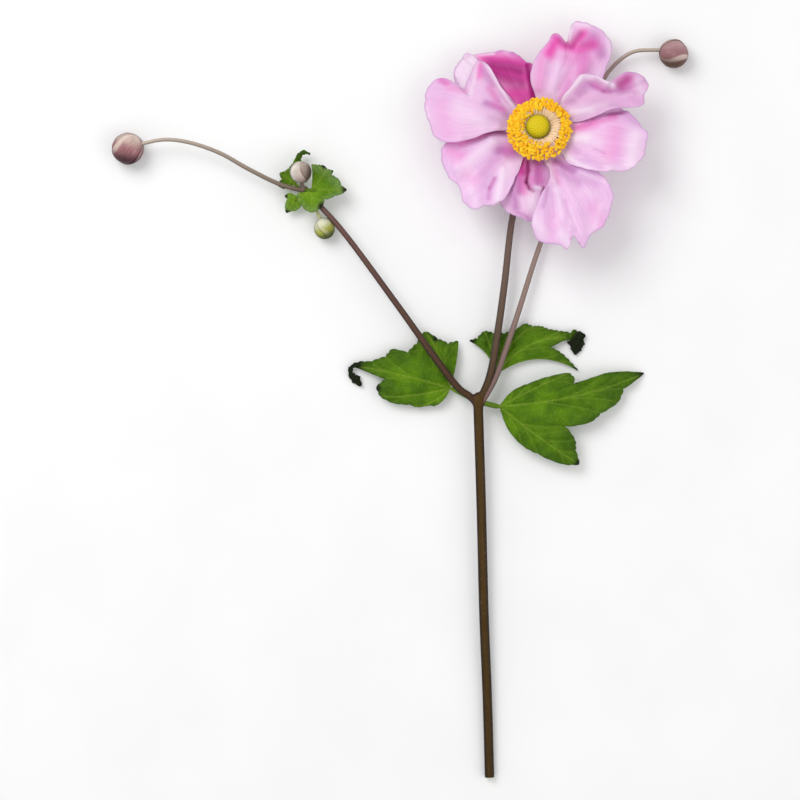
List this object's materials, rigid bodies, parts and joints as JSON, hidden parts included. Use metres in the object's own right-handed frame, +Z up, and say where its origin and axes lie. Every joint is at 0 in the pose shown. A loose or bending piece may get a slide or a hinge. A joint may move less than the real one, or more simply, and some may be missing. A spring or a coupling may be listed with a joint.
{
  "type": "japanese anemone flower",
  "caption": "Cut flowering stem of a Japanese anemone, lying down: an open pink bloom with golden stamens, lobed stem leaves, side branches and round buds.",
  "frame": {"origin": "middle of the underside of the whole flower's box, on the surface that it lies on", "axes": "+Y along the stem from its cut end towards the bloom, +X to the right seen from above with +Y away, +Z up from the surface, the way the bloom faces"},
  "size_m": [0.2138, 0.2808, 0.0255],
  "materials": {
    "tepal": "silky petal, pale lilac pink, whiter at the foot and deeper pink in the folds, finely veined",
    "stamen": "powdery golden anthers on smooth pale filaments",
    "carpel": "green-yellow, finely knobbed, satin",
    "stem": "brown-olive to mauve-brown, satin, with fine short hairs",
    "leaf": "fresh green, satin, net-veined, dark at the tips",
    "mauve_bud": "dusky mauve, silky-haired, with pale seams",
    "green_bud": "yellow-green, silky-haired, with pale seams"
  },
  "bodies": {
    "root": {"tepal_1": "tepal", "tepal_2": "tepal", "tepal_3": "tepal", "tepal_4": "tepal", "tepal_5": "tepal", "tepal_6": "tepal", "tepal_7": "tepal", "tepal_8": "tepal", "tepal_9": "tepal", "stamens": "stamen", "carpel_head": "carpel", "flower_stem": "stem", "stem_leaf_left": "leaf", "stem_leaf_right": "leaf", "stem_leaf_far": "leaf", "bract_outer": "leaf", "bract_upper": "leaf", "bract_lower": "leaf", "bud_arching": "mauve_bud", "bud_right": "mauve_bud", "bud_small": "mauve_bud", "bud_green": "green_bud"}
  },
  "joints": []
}
